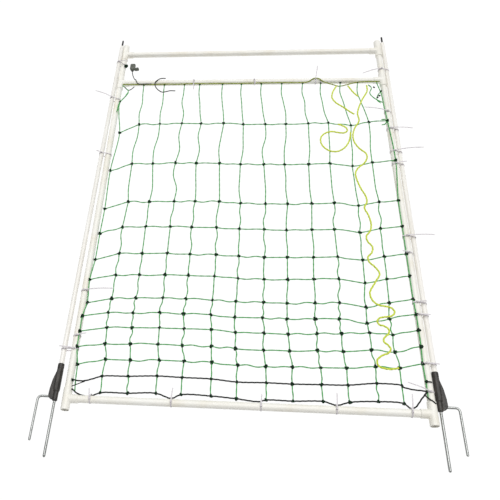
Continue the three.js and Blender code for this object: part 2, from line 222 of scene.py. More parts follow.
def tint(material, factor, stops):
    shader = material.node_tree.nodes["Principled BSDF"]
    material.node_tree.links.new(ramp(material, factor, stops), shader.inputs["Base Color"])


def vary_roughness(material, factor, low, high):
    shader = material.node_tree.nodes["Principled BSDF"]
    stops = [(0.3, (low, low, low, 1)), (0.7, (high, high, high, 1))]
    material.node_tree.links.new(ramp(material, factor, stops), shader.inputs["Roughness"])


def bump(material, factor, height_mm, strength=1.0):
    nodes, links = material.node_tree.nodes, material.node_tree.links
    node = nodes.new("ShaderNodeBump")
    node.inputs["Strength"].default_value = strength
    node.inputs["Distance"].default_value = height_mm * MM
    links.new(factor, node.inputs["Height"])
    links.new(node.outputs["Normal"], nodes["Principled BSDF"].inputs["Normal"])


def pipe_material():
    """Off-white pipe, faintly yellowed in patches, with a fine moulded skin."""
    material = new_material("pvc_pipe", srgb(238, 235, 226), 0.42)
    stops = [(0.3, srgb(233, 228, 214)), (0.5, srgb(240, 238, 230)), (0.75, srgb(243, 242, 237))]
    tint(material, noise(material, 0.012, detail=6), stops)
    vary_roughness(material, noise(material, 0.2), 0.36, 0.5)
    bump(material, noise(material, 1.2, detail=3), 0.08, 0.4)
    return material


def post_material():
    """White coated rod with long faint streaks."""
    material = new_material("post_rod", srgb(240, 238, 232), 0.4)
    stops = [(0.3, srgb(232, 228, 219)), (0.6, srgb(243, 241, 236)), (0.8, srgb(246, 245, 242))]
    tint(material, noise(material, 0.25, stretch=(1, 0.03, 1)), stops)
    bump(material, noise(material, 0.8, stretch=(1, 0.1, 1)), 0.1, 0.35)
    return material


def foot_material():
    """Black-brown moulded plastic, greyer where it is scuffed."""
    material = new_material("foot_plastic", srgb(44, 42, 38), 0.5)
    stops = [(0.35, srgb(33, 31, 28)), (0.55, srgb(48, 45, 41)), (0.8, srgb(78, 70, 64))]
    tint(material, noise(material, 0.12, stretch=(1, 0.35, 1), detail=7), stops)
    vary_roughness(material, noise(material, 0.4), 0.38, 0.62)
    bump(material, noise(material, 2.2, detail=2), 0.12, 0.5)
    return material


def steel_material():
    """Galvanised rod with a spangled grey skin."""
    material = new_material("spike_steel", srgb(168, 171, 168), 0.38, metallic=0.85)
    stops = [(0.3, srgb(150, 152, 150)), (0.5, srgb(160, 162, 160)), (0.75, srgb(170, 172, 170))]
    tint(material, noise(material, 0.15, detail=3), stops)
    vary_roughness(material, noise(material, 0.2), 0.26, 0.34)
    bump(material, noise(material, 1.5), 0.03, 0.15)
    return material


def tip_material():
    material = new_material("tip_plastic", srgb(30, 29, 30), 0.45)
    tint(material, noise(material, 0.5), [(0.35, srgb(22, 21, 22)), (0.7, srgb(46, 44, 45))])
    bump(material, noise(material, 2.5, detail=2), 0.05, 0.4)
    return material


def fibre_material(name, dark, middle, light, per_mm=0.9, roughness=0.72):
    """Twisted yarn: fine fibres lighter and darker than the middle colour."""
    material = new_material(name, middle, roughness, specular=0.15)
    tint(material, noise(material, per_mm, detail=3), [(0.34, dark), (0.5, middle), (0.68, light)])
    bump(material, noise(material, per_mm * 3, detail=2), 0.25, 0.6)
    return material


def tie_material():
    """Natural nylon, a little waxy."""
    material = new_material("cable_tie", srgb(204, 199, 203), 0.35)
    tint(material, noise(material, 0.2), [(0.3, srgb(194, 188, 193)), (0.7, srgb(214, 210, 213))])
    bump(material, noise(material, 1.5, detail=2), 0.05, 0.3)
    return material


def clip_material():
    material = new_material("clip_plastic", srgb(78, 82, 74), 0.5)
    tint(material, noise(material, 0.3), [(0.35, srgb(58, 62, 55)), (0.65, srgb(104, 108, 98))])
    bump(material, noise(material, 1.8, detail=2), 0.08, 0.4)
    return material


def fibre_materials():
    """Dark, middle and light colour of each yarn."""
    shades = {
        "net_twine": ((52, 132, 62), (80, 168, 92), (122, 198, 128)),
        "net_knot": ((8, 24, 14), (18, 42, 27), (42, 74, 52)),
        "black_line": ((14, 17, 16), (30, 34, 32), (62, 66, 64)),
        # top_line is the yellow rope's colour darkened to olive: partly the line's own yellow-olive tone,
        # partly painted shade from the net rail it runs beside.
        "top_line": ((80, 90, 22), (134, 146, 40), (190, 204, 80)),
        "yellow_rope": ((160, 172, 36), (210, 224, 70), (236, 248, 112)),
    }
    return {name: fibre_material(name, *(srgb(*shade) for shade in trio)) for name, trio in shades.items()}


MATERIALS = {
    "pvc_pipe": pipe_material(),
    "post_rod": post_material(),
    "foot_plastic": foot_material(),
    "spike_steel": steel_material(),
    "tip_plastic": tip_material(),
    **fibre_materials(),
    "cable_tie": tie_material(),
    "clip_plastic": clip_material(),
}


# Shapes: each is a pair of vertices in gate millimetres and faces


def merged(shapes):
    verts, faces = [], []
    for shape_verts, shape_faces in shapes:
        start = len(verts)
        verts.extend(shape_verts)
        faces.extend([start + index for index in face] for face in shape_faces)
    return verts, faces


def moved(shape, matrix):
    return [matrix @ Vector(vert) for vert in shape[0]], shape[1]


def loft(rings, closed=False):
    """Skin over rings with as many points each, capped at both ends unless it closes on itself."""
    count = len(rings[0])
    verts = [vert for ring in rings for vert in ring]
    faces = []
    last = len(rings) if closed else len(rings) - 1
    for i in range(last):
        base = i * count
        over = ((i + 1) % len(rings)) * count
        for j in range(count):
            k = (j + 1) % count
            faces.append([base + j, base + k, over + k, over + j])
    if not closed:
        faces.append(list(range(count - 1, -1, -1)))
        faces.append([last * count + j for j in range(count)])
    return verts, faces


def revolve(profile, sides=48, closed=False):
    """Turn (height, radius) pairs about the Y axis. A closed profile makes a hollow wall."""
    rings = []
    for height, radius in profile:
        ring = []
        for j in range(sides):
            angle = -math.tau * j / sides
            ring.append(Vector((radius * math.cos(angle), height, radius * math.sin(angle))))
        rings.append(ring)
    return loft(rings, closed)


def sides_along(points):
    """Two side directions at each point of a path, turned as little as possible between points."""
    tangents = []
    for i in range(len(points)):
        before, after = points[max(i - 1, 0)], points[min(i + 1, len(points) - 1)]
        tangents.append((after - before).normalized())
    guide = Vector((0, 0, 1)) if abs(tangents[0].z) < 0.9 else Vector((1, 0, 0))
    side = tangents[0].cross(guide).normalized()
    pairs = []
    for i, tangent in enumerate(tangents):
        if i:
            side = tangents[i - 1].rotation_difference(tangent) @ side
            side = (side - tangent * side.dot(tangent)).normalized()
        pairs.append((side, tangent.cross(side)))
    return pairs


def sweep(points, radius, sides, lobes=0, lay=1.0, depth=0.0, ends=1.0):
    """Cord along the points. Its lobes turn once round in each lay, and ends narrow the last rings."""
    rings = []
    distance = 0.0
    for i, (point, (side, up)) in enumerate(zip(points, sides_along(points))):
        if i:
            distance += (point - points[i - 1]).length
        narrow = ends if i in (0, len(points) - 1) else 1.0
        ring = []
        for j in range(sides):
            angle = math.tau * j / sides
            swell = 1 + depth * (math.cos(lobes * angle - math.tau * distance / lay) - 1) / 2
            reach = radius * narrow * swell
            ring.append(point + side * (reach * math.cos(angle)) + up * (reach * math.sin(angle)))
        rings.append(ring)
    return loft(rings)


def spline(points, spacing):
    """Centripetal Catmull-Rom curve through the points, sampled about every spacing."""
    points = [Vector(point) for point in points]
    padded = [2 * points[0] - points[1], *points, 2 * points[-1] - points[-2]]
    curve = []
    for i in range(1, len(padded) - 2):
        before, start, end, after = padded[i - 1:i + 3]
        gap_before = max((start - before).length, 1e-6) ** 0.5
        gap = max((end - start).length, 1e-6) ** 0.5
        gap_after = max((after - end).length, 1e-6) ** 0.5
        leave = (start - before) / gap_before - (end - before) / (gap_before + gap) + (end - start) / gap
        arrive = (end - start) / gap - (after - start) / (gap + gap_after) + (after - end) / gap_after
        leave, arrive = leave * gap, arrive * gap
        steps = max(2, round((end - start).length / spacing))
        for step in range(steps):
            t = step / steps
            curve.append(
                start * (2 * t ** 3 - 3 * t ** 2 + 1) + leave * (t ** 3 - 2 * t ** 2 + t)
                + end * (3 * t ** 2 - 2 * t ** 3) + arrive * (t ** 3 - t ** 2)
            )
    curve.append(points[-1])
    return curve


def rounded_box(centre, size, rounding, segments=2):
    """Box with its edges rounded."""
    bm = bmesh.new()
    bmesh.ops.create_cube(bm, size=1)
    bmesh.ops.scale(bm, vec=size, verts=bm.verts)
    bmesh.ops.bevel(
        bm, geom=bm.edges[:], offset=rounding, segments=segments, profile=0.5, affect="EDGES",
        clamp_overlap=True,
    )
    bmesh.ops.translate(bm, vec=centre, verts=bm.verts)
    bm.verts.index_update()
    shape = [vert.co.copy() for vert in bm.verts], [[vert.index for vert in face.verts] for face in bm.faces]
    bm.free()
    return shape


def new_object(name, shape, to_frame=True):
    mesh = bpy.data.meshes.new(name)
    verts = [place(vert) for vert in shape[0]] if to_frame else [Vector(vert) for vert in shape[0]]
    mesh.from_pydata(verts, [], shape[1])
    mesh.update()
    piece = bpy.data.objects.new(name, mesh)
    bpy.context.scene.collection.objects.link(piece)
    return piece


def add_piece(name, shape, look, body="gate", stands_for=(), slot=None, sharp=38):
    """Piece of the gate in one material, which stands for the nodes that it replaces."""
    piece = new_object(name, shape)
    piece.data.materials.append(MATERIALS[look])
    piece.data.shade_smooth()
    piece.data.set_sharp_from_angle(angle=math.radians(sharp))
    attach(piece, body)
    slot or look
    if stands_for:
        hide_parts(*stands_for)
    return piece


def shape_of(piece):
    """Final shape of an object with its modifiers, and the object deleted."""
    graph = bpy.context.evaluated_depsgraph_get()
    mesh = piece.evaluated_get(graph).to_mesh()
    shape = [vert.co.copy() for vert in mesh.vertices], [list(face.vertices) for face in mesh.polygons]
    data = piece.data
    bpy.data.objects.remove(piece)
    bpy.data.meshes.remove(data)
    return shape


def fused(shapes, voxel, smoothing, cutters=()):
    """Overlapping solids run together with soft joins, then cut."""
    piece = new_object("fused", merged(shapes), to_frame=False)
    remesh = piece.modifiers.new("remesh", "REMESH")
    remesh.mode = "VOXEL"
    remesh.voxel_size = voxel
    smooth = piece.modifiers.new("smooth", "SMOOTH")
    smooth.factor = 0.5
    smooth.iterations = smoothing
    tools = []
    for cutter in cutters:
        tool = new_object("cutter", cutter, to_frame=False)
        boolean = piece.modifiers.new("cut", "BOOLEAN")
        boolean.object = tool
        boolean.operation = "DIFFERENCE"
        boolean.solver = "EXACT"
        tools.append(tool)
    shape = shape_of(piece)
    for tool in tools:
        bpy.data.objects.remove(tool)
    return shape


# Cords: the yellow rope that lies loose on the net, on the points of part.mjs

ROPES = {
    "yellow_rope": [
        (441, 1241.7), (440, 1212), (417, 1164), (396, 1100), (398, 1062), (379, 1023), (371, 990),
        (374, 959), (389, 930), (408, 909), (411, 891), (400, 866), (376, 842), (366, 819), (369, 790),
        (379, 754),
        (391, 724), (393, 700), (383, 676), (393, 646), (398, 612), (393, 586), (379, 565), (381, 546),
        (394, 525), (390, 504), (377, 488), (379, 470), (394, 453), (406, 429), (391, 400), (371, 362),
        (377, 336), (393, 322), (414, 318), (430, 312), (436, 300), (427, 288), (410, 284), (394, 281),
        (384, 272), (387, 259), (402, 254), (413, 244), (411, 230), (399, 219), (395, 206), (406, 195),
        (412, 183), (404, 171), (386, 163), (371, 148), (374, 131), (401, 123), (428, 127),
    ],
    "rope_strand": [
        (330, 1240.4), (314, 1206), (310, 1178), (323, 1152), (348, 1129), (368, 1108), (384, 1094),
    ],
    "rope_end": [
        (372, 1240.2), (390, 1204), (405, 1184),
    ],
    "rope_loop": [
        (322, 1046), (338, 1038), (350, 1028), (353, 1014), (342, 1004), (322, 1005), (300, 1010),
        (278, 1004), (262, 988), (257, 965), (266, 938), (287, 920), (311, 917), (336, 932), (353, 958),
        (361, 985), (364, 1008),
    ],
}


def add_ropes():
    """Three-strand rope on each route."""
    for node, points in ROPES.items():
        path = spline([(x, y, ROPE_Z) for x, y in points], ROPE_STEP)
        shape = sweep(path, ROPE_R, sides=12, lobes=3, lay=ROPE_LAY, depth=0.3, ends=0.8)
        piece = add_piece(f"{node}_laid", shape, "yellow_rope", stands_for=(node,))
        route = [place(point) for point in path]


# Frame


def tee_rim(reach):
    """Outside of a tee's arm near its end, as far as reach, with the rim a little rounded."""
    rim = 1
    return [(reach - rim, TEE_R), (reach - 0.4 * rim, TEE_R - 0.3 * rim), (reach, TEE_R - rim)]


def tee_socket(reach):
    """Bore of a tee's arm, wider where a pipe goes in."""
    stop = reach - SOCKET_DEPTH
    return [(stop, TEE_BORE_R), (stop, SOCKET_R), (reach + 2, SOCKET_R)]


def tee_shape(up_reach):
    """Tee with its run along Y, as far up as up_reach, and its branch along +X."""
    lower = [(-height, radius) for height, radius in reversed(tee_rim(TEE_REACH))]
    run = revolve([*lower, *tee_rim(up_reach)], sides=72)
    to_x = Matrix.Rotation(-math.pi / 2, 4, "Z")
    branch = moved(revolve([(0, TEE_R - 0.2), *tee_rim(TEE_REACH)], sides=72), to_x)
    lower = [(-height, radius) for height, radius in reversed(tee_socket(TEE_REACH))]
    through = revolve([*lower, *tee_socket(up_reach)], sides=64)
    side = moved(revolve([(0, TEE_BORE_R), *tee_socket(TEE_REACH)], sides=64), to_x)
    return fused([run, branch], voxel=0.9, smoothing=5, cutters=(through, side))


def pipe_shape(length):
    """Pipe from the origin along +Y with its wall and bore."""
    chamfer = 0.6
    near = [(0, PIPE_R - chamfer), (chamfer, PIPE_R)]
    far = [(length - chamfer, PIPE_R), (length, PIPE_R - chamfer)]
    inside = [(length, PIPE_BORE_R), (0, PIPE_BORE_R)]
    return revolve([*near, *far, *inside], sides=64, closed=True)


def add_frame():
    turned = Matrix.Rotation(math.pi, 4, "Y")
    along_x = Matrix.Rotation(-math.pi / 2, 4, "Z")
    rail_length = 2 * (STILE_X - PIPE_STOP)
    rails = (("bottom", 0, TEE_REACH), ("net", NET_RAIL_Y, TEE_REACH), ("top", TOP_RAIL_Y, TOP_REACH))
    for name, y, up_reach in rails:
        tee = tee_shape(up_reach)
        rail = moved(pipe_shape(rail_length), Matrix.Translation((-rail_length / 2, y, AXIS_Z)) @ along_x)
        add_piece(f"{name}_rail_pipe", rail, "pvc_pipe", stands_for=(f"{name}_rail",))
        left = moved(tee, Matrix.Translation((-STILE_X, y, AXIS_Z)))
        add_piece(f"{name}_tee_left_fitting", left, "pvc_pipe", stands_for=(f"{name}_tee_left",))
        right = moved(tee, Matrix.Translation((STILE_X, y, AXIS_Z)) @ turned)
        add_piece(f"{name}_tee_right_fitting", right, "pvc_pipe", stands_for=(f"{name}_tee_right",))
    stiles = (("lower", 0, NET_RAIL_Y), ("upper", NET_RAIL_Y, TOP_RAIL_Y))
    for name, rail_below, rail_above in stiles:
        low, high = rail_below + PIPE_STOP, rail_above - PIPE_STOP
        for side, x in (("left", -STILE_X), ("right", STILE_X)):
            stile = moved(pipe_shape(high - low), Matrix.Translation((x, low, AXIS_Z)))
            add_piece(f"{name}_stile_{side}_pipe", stile, "pvc_pipe", stands_for=(f"{name}_stile_{side}",))


# Posts


def left_post_at(y):
    """Axis of the left post, which leans on the tees' shoulders and lies low at its foot."""
    share = (y - LEFT_FOOT_Y) / (TOP_RAIL_Y - LEFT_FOOT_Y)
    x = -STILE_X - LEFT_FOOT_OFFSET + share * (LEFT_FOOT_OFFSET - LEFT_TOP_OFFSET)
    return x, FOOT_Z + share * (LEFT_TOP_Z - FOOT_Z)


def post_matrix(side):
    """Lays a post beside its stile: its own X is away from the gate and its Y is up the post."""
    if side == "right":
        return Matrix.Translation((RIGHT_POST_X, RIGHT_FOOT_Y, FOOT_Z))
    foot_x, foot_z = left_post_at(LEFT_FOOT_Y)
    top_x, top_z = left_post_at(TOP_RAIL_Y)
    along = Vector((top_x - foot_x, TOP_RAIL_Y - LEFT_FOOT_Y, top_z - foot_z)).normalized()
    outward = Vector((0, 0, 1)).cross(along).normalized()
    down = outward.cross(along)
    axes = Matrix((outward, along, down)).transposed().to_4x4()
    return Matrix.Translation((foot_x, LEFT_FOOT_Y, foot_z)) @ axes


def foot_shape():
    """Moulded foot: a ribbed sleeve with a rim, a narrower neck and the web that carries the tread."""
    sleeve = revolve([
        (FOOT_NECK, 7.6), (FOOT_NECK + 3, 9), (FOOT_LENGTH - 16, 8.9), (FOOT_LENGTH - 15, 9.5),
        (FOOT_LENGTH - 2, 9.5), (FOOT_LENGTH, 8.6),
    ], sides=40)
    neck = revolve([(0, 6.4), (1.2, 7.4), (FOOT_NECK + 6, 7.4)], sides=40)
    outline = [
        (0, 0.3), (FOOT_REACH - 3, 5), (FOOT_REACH + 2, 9), (FOOT_REACH + 3.5, 16), (FOOT_REACH + 3, 34),
        (FOOT_REACH - 1, 62), (8.5, FOOT_LENGTH * 0.8), (0, FOOT_LENGTH * 0.8),
    ]
    half_web = 4.4
    web = loft([[Vector((x, y, z)) for x, y in outline] for z in (half_web, -half_web)])
    rib = rounded_box((8.4, 62, 0), (2.2, 62, 2.2), rounding=0.5)
    rib_pitch = 45
    ribs = []
    for angle in range(0, 360, rib_pitch):
        turn = Matrix.Rotation(math.radians(angle + rib_pitch / 2), 4, "Y")
        ribs.append(moved(rib, turn))
    return fused([sleeve, neck, web, *ribs], voxel=0.75, smoothing=2)


def tread_path():
    """Out of the foot, round the bend and down beside the spike."""
    bend = 12
    straight = [Vector((7.5 + i * 6, TREAD_HEIGHT, 0)) for i in range(6)]
    corner = Vector((TREAD_REACH, TREAD_HEIGHT, 0))
    turn = corner - Vector((bend, 0, 0))
    drop = corner - Vector((0, bend, 0))
    curve = [turn.lerp(corner, t).lerp(corner.lerp(drop, t), t) for t in (i / 10 for i in range(11))]
    last = TREAD_HEIGHT - TREAD_DROP
    down = [Vector((TREAD_REACH, y, 0)) for y in range(-10, last, -10)]
    return [*straight, *curve, *down, Vector((TREAD_REACH, last, 0))]


def add_post(side, body):
    matrix = post_matrix(side)
    rod_end = POST_START + POST_LENGTH
    tip_end = POST_START + POST_LENGTH + TIP_LENGTH
    rod = [
        (POST_START, POST_R - 0.6), (POST_START + 0.6, POST_R), (rod_end - 1.4, POST_R),
        (rod_end - 0.4, POST_R - 0.5), (rod_end, POST_R - 1.6),
    ]
    tip = [(rod_end - 13, TIP_R), (tip_end - 3, TIP_R), (tip_end - 1, TIP_R - 0.6), (tip_end, TIP_R - 1.8)]
    spike = [
        (-SPIKE_LENGTH, 2), (1.6 - SPIKE_LENGTH, 3.3), (4 - SPIKE_LENGTH, SPIKE_R),
        (SPIKE_SOCKET - 1, SPIKE_R), (SPIKE_SOCKET, SPIKE_R - 0.6),
    ]
    pieces = (
        ("post", "rod", revolve(rod, sides=48), "post_rod"),
        ("post_tip", "cap", revolve(tip, sides=32), "tip_plastic"),
        ("foot", "moulding", foot_shape(), "foot_plastic"),
        ("spike", "steel", revolve(spike, sides=32), "spike_steel"),
        ("tread_spike", "steel", sweep(tread_path(), TREAD_R, sides=24, ends=0.75), "spike_steel"),
    )
    for part, kind, shape, look in pieces:
        node = f"{side}_{part}"
        add_piece(f"{node}_{kind}", moved(shape, matrix), look, body=body, stands_for=(node,))


# Netting


def stile_surface(x, clear):
    """Height of a strand that lies on the stile at x, or on the floor beside it."""
    reach = PIPE_R + clear
    off = abs(abs(x) - STILE_X)
    if off < reach:
        return AXIS_Z + math.sqrt(reach ** 2 - off ** 2)
    return max(NET_Z, AXIS_Z - (off - reach) * 1.1)


def knot_at(row, column, jitter):
    """Where the knot of a row and a column lies."""
    grid_x = -SELVAGE_X + column * PITCH
    if column == 0:
        x, y = grid_x + LEFT_SELVAGE_DRIFT[row], ROW_Y[row] + COLUMN_LIFT[0]
    elif column == COLUMNS - 1:
        x, y = grid_x + RIGHT_SELVAGE_DRIFT[row], ROW_Y[row] + COLUMN_LIFT[column]
    else:
        x = grid_x + COLUMN_DRIFT[column] + ROW_DRIFT[row] + jitter.uniform(-1.5, 1.5)
        y = ROW_Y[row] + COLUMN_LIFT[column] + ROW_LIFT[row] + jitter.uniform(-1.5, 1.5)
        if column == SLACK_COLUMN and row < SLACK_ROWS:
            y += SLACK_LIFT
    if row == 0:
        y = max(y, 22 if 0 < column < COLUMNS - 1 else 26)
    return Vector((x, y, stile_surface(x, TWINE_R + 0.3)))


def knots_of_net():
    jitter = random.Random(11)
    return [[knot_at(row, column, jitter) for column in range(COLUMNS)] for row in range(len(ROW_Y))]


KNOTS = knots_of_net()


def waved(start, end, wave, across):
    """Slack strand between two knots, bowed to one side and back along the direction across."""
    reach = 1.2 + 0.034 * (end - start).length
    first = wave.uniform(-1, 1) * reach
    second = wave.choice((-0.9, -0.5, 0.5)) * first
    return [start.lerp(end, 0.33) + across * first, start.lerp(end, 0.68) + across * second]


def net_ends(column):
    """Top end of a column, where it turns round the top line."""
    x = -SELVAGE_X + column * PITCH + TOP_DRIFT[column]
    return Vector((x, TOP_LINE_Y - 3, TOP_LINE_Z - 2))


def column_path(column, wave):
    """Up one column from the lowest black line to the top line."""
    points = [KNOTS[0][column]]
    across = Vector((1, 0, 0))
    for row in range(1, len(ROW_Y)):
        if 0 < column < COLUMNS - 1:
            points.extend(waved(points[-1], KNOTS[row][column], wave, across))
        points.append(KNOTS[row][column])
    top = net_ends(column)
    if column == 0:
        points.extend([Vector((-484, 1090, 16)), Vector((-487, 1150, 20)), Vector((-462, 1212, 17))])
    elif column < COLUMNS - 1:
        low = top + Vector((-2, -34, 5 - top.z))
        points.extend(waved(points[-1], low, wave, across))
        points.append(low)
    else:
        points.extend([Vector((489, 1120, 21)), Vector((486, 1180, 21))])
    points.append(top)
    return spline(points, STRAND_STEP)


def row_path(row, wave):
    """Across one row, up onto the stile at each end."""
    points = [KNOTS[row][0]]
    across = Vector((0, 1, 0))
    for column in range(1, COLUMNS):
        points.extend(waved(points[-1], KNOTS[row][column], wave, across * 0.8))
        points.append(KNOTS[row][column])
    settled = []
    for point in points:
        settled.append(Vector((point.x, point.y, max(point.z, stile_surface(point.x, TWINE_R)))))
    return spline(settled, STRAND_STEP)


def overhand_knot(radius, cord, sides=6, steps=22):
    """Small tight knot about the origin: a trefoil of twine."""
    points = []
    for i in range(steps):
        t = math.tau * i / steps
        points.append(Vector((
            (math.sin(t) + 2 * math.sin(2 * t)) * radius / 3,
            (math.cos(t) - 2 * math.cos(2 * t)) * radius / 3,
            -math.sin(3 * t) * radius / 2.6,
        )))
    rings = []
    for i, point in enumerate(points):
        tangent = (points[(i + 1) % steps] - points[i - 1]).normalized()
        side = tangent.cross(Vector((0, 0, 1))).normalized()
        up = tangent.cross(side)
        ring = []
        for j in range(sides):
            angle = math.tau * j / sides
            ring.append(point + cord * (side * math.cos(angle) + up * math.sin(angle)))
        rings.append(ring)
    return loft(rings, closed=True)


def knots_at(points, radius, cord, seed):
    """A knot at each point, each turned and stretched its own way."""
    turn = random.Random(seed)
    knot = overhand_knot(radius, cord)
    shapes = []
    for point in points:
        spin = Matrix.Rotation(turn.uniform(0, math.tau), 4, "Z")
        spin = spin @ Matrix.Rotation(turn.uniform(-0.5, 0.5), 4, "X")
        stretch = Matrix.Diagonal((turn.uniform(0.85, 1.2), turn.uniform(0.8, 1.1), 0.9, 1))
        shapes.append(moved(knot, Matrix.Translation(point) @ spin @ stretch))
    return shapes


def twine(path):
    """Two-ply twine, whose fibres stand out a little past its own radius."""
    return sweep(path, TWINE_R * TWINE_FLUFF, sides=8, lobes=2, lay=TWINE_LAY, depth=0.22)


def add_netting():
    wave = random.Random(5)
    columns = [twine(column_path(column, wave)) for column in range(COLUMNS)]
    rows = [twine(row_path(row, wave)) for row in range(BLACK_ROWS, len(ROW_Y))]
    add_piece("net_columns", merged(columns), "net_twine", stands_for=("netting",), sharp=70)
    add_piece("net_rows", merged(rows), "net_twine", sharp=70)
    green = [knot + Vector((0, 0, 0.8)) for row in KNOTS[BLACK_ROWS:] for knot in row]
    add_piece("net_knots", merged(knots_at(green, 4.9, 2.1, seed=3)), "net_knot", slot="net_twine", sharp=70)
    low = [knot + Vector((0, 0, 1.5)) for row in KNOTS[:BLACK_ROWS] for knot in row[1:-1]]
    ends = [net_ends(column) for column in range(1, COLUMNS - 1)]
    shapes = knots_at(low, 4.2, 1.9, seed=4) + knots_at(ends, 3, 1.4, seed=6)
    add_piece("line_knots", merged(shapes), "net_knot", slot="net_twine", sharp=70)


def line_shape(points, radius=LINE_R, lay=16):
    return sweep(spline(points, STRAND_STEP), radius, sides=10, lobes=3, lay=lay, depth=0.26)


def add_lines():
    """The two black bottom lines, each through the knots of its row."""
    lift = Vector((0, 0, 1.2))
    upper = [knot + lift for knot in KNOTS[1][1:-1]]
    left_end = [(-492, 54, 26), (-480, 51, 23), (-459, 54, 12), (-434, 63, 7)]
    right_end = [(430, 75, 7), (454, 66, 12), (478, 60, 22), (490, 57, 26)]
    upper_shape = line_shape([*left_end, *upper, *right_end])
    branch = line_shape([(-488, 33, 24), (-474, 42, 18), (-456, 53, 11)], radius=1.6)
    add_piece("black_line_2_laid", merged([upper_shape, branch]), "black_line", stands_for=("black_line_2",))
    lower = [(-487, 26, 24), (-472, 16, 14), (-450, 11, 8), (-432, 12, 7)]
    dips = {3: (-203, 15), 6: (40, 16), 9: (251, 15)}
    for column in range(1, COLUMNS - 1):
        lower.append(KNOTS[0][column] + lift)
        if column in dips:
            lower.append((*dips[column], 7))
    lower.extend([(445, 15, 7), (457, 17, 9), (476, 40, 18), (490, 57, 28)])
    add_piece("black_line_1_laid", line_shape(lower), "black_line", stands_for=("black_line_1",))


def add_top_line():
    """The line along the net rail, which climbs over the rail once and sags beside it. Its olive colour is
    partly the line's own yellow-olive tone and partly painted shade from the net rail it runs beside.
    """
    wave = random.Random(9)
    points = [(-486, 1244, 26), (-470, 1247, 22)]
    for x in range(-440, 201, 40):
        points.append((x, TOP_LINE_Y + wave.uniform(-1.6, 0.4), TOP_LINE_Z))
    points.extend([
        (224, 1252, 20), (246, 1262, 27.5), (262, 1261, 27.5), (284, 1250, 20), (318, 1243, 12),
        (340, 1238, 9), (370, 1243, 12), (400, 1248, 17), (442, 1250, 19), (468, 1247, 22), (486, 1243, 26),
    ])
    shape = line_shape(points, radius=2.1, lay=18)
    # The top_line material carries painted shade from the rail as well as the line's own olive tone.
    add_piece("top_line_laid", shape, "top_line", stands_for=("top_line",))


def add_corners():
    """Loose strands at the net's top corners, and what lashes the lower right corner to the post."""
    strands = [
        [(-462, 1212, 17), (-474, 1180, 18), (-487, 1153, 22), (-492, 1100, 25)],
        [(445, 1236, 16), (456, 1225, 12), (449, 1201, 8), (465, 1167, 12), (486, 1140, 21)],
        [(486, 1195, 22), (474, 1180, 17), (470, 1160, 14), (480, 1140, 18)],
        [(476, 1062, 14), (486, 1056, 20), (490, 1046, 22), (484, 1034, 20), (474, 1036, 14)],
    ]
    lashings = [
        [(484, 47, 22), (490, 39, 25), (499, 32, 27), (509, 25, 23)],
        [(492, 85, 25), (499, 85, 26), (506, 84, 24)],
    ]
    knots = [
        (465, 1225, 14), (486, 1195, 23), (479, 1176, 19), (472, 1170, 17), (-487, 1155, 22), (491, 85, 26),
        (-487, 50, 26),
    ]
    add_piece("corner_lashings", merged([line_shape(points, radius=2) for points in lashings]), "black_line")
    loose = [twine(spline(points, STRAND_STEP)) for points in strands]
    add_piece("net_corner_strands", merged(loose), "net_twine", sharp=70)
    shapes = knots_at([Vector(point) for point in knots], 3.4, 1.4, seed=8)
    add_piece("net_corner_knots", merged(shapes), "net_knot", slot="net_twine", sharp=70)


# Cable ties: on a stile, the height, whether the tie holds the post, and where its tail ends from
# the stile and above the tie; on a rail, the column, how far past it, and the tail's end

RIGHT_TIES = [
    (1314, True, -73, -28), (1094, False, -82, 17), (1012, True, 75, -4), (908, True, 100, 12),
    (852, True, 36, 6), (560, True, 84, 2), (498, False, -22, 4), (328, True, 28, 2), (288, True, 31, -2),
    (139, True, 34, -3), (58, False, -59, 23),
]
LEFT_TIES = [
    (1362, True, -24, -2), (1168, True, 86, 32), (895, True, 40, 6), (342, False, -94, 6),
    (190, False, -30, 6), (148, True, 45, 4),
]
BOTTOM_TIES = [(0, 58, -4, 29), (3, 62, 3, 39), (7, 8, 2, 32), (9, 60, 2, 44), (13, -45, 4, 49)]
NET_RAIL_TIES = [(3, 54, 2, -52), (6, 60, 4, -22), (9, 64, 10, 68)]


def band_outline(circles, sides=40):
    """Points of a taut loop round circles, each with the direction that faces out."""
    spots = []
    for u, v, radius in circles:
        for i in range(sides):
            angle = math.tau * i / sides
            out = (math.cos(angle), math.sin(angle))
            spots.append((u + radius * out[0], v + radius * out[1], out))
    spots.sort(key=lambda spot: (spot[0], spot[1]))
    outline = []
    for order in (spots, spots[::-1]):
        chain = []
        for spot in order:
            while len(chain) > 1:
                (ax, ay, _), (bx, by, _) = chain[-2:]
                if (bx - ax) * (spot[1] - ay) - (by - ay) * (spot[0] - ax) > 1e-9:
                    break
                chain.pop()
            chain.append(spot)
        outline.extend(chain[:-1])
    return outline


def band(circles, to_gate):
    """Strap round circles; to_gate turns outline and width into a point."""
    rings = []
    half = TIE_WIDTH / 2
    soft = 0.25
    corners = [
        (0, -half), (TIE_THICK - soft, -half), (TIE_THICK, -half + soft), (TIE_THICK, half - soft),
        (TIE_THICK - soft, half), (0, half),
    ]
    for u, v, out in band_outline([(u, v, radius + TIE_CLEAR) for u, v, radius in circles]):
        rings.append([to_gate(u + out[0] * rise, v + out[1] * rise, width) for rise, width in corners])
    return loft(rings, closed=True)


def tail(head, end):
    """Flat free end of a tie that leaves the head, bows a little and narrows to a rounded tip."""
    run = end - head
    across = run.cross(Vector((0, 0, 1))).normalized()
    rings = []
    steps = 14
    for i in range(steps + 1):
        t = i / steps
        centre = head + run * t + Vector((0, 0, 1)) * (math.sin(t * math.pi) * 0.045 * run.length)
        half = TIE_WIDTH / 2 * (0.42 if i == steps else 0.75 if i == steps - 1 else 0.92)
        thick = 0.5
        rings.append([
            centre - across * half - Vector((0, 0, thick)), centre + across * half - Vector((0, 0, thick)),
            centre + across * half + Vector((0, 0, thick)), centre - across * half + Vector((0, 0, thick)),
        ])
    return loft(rings)


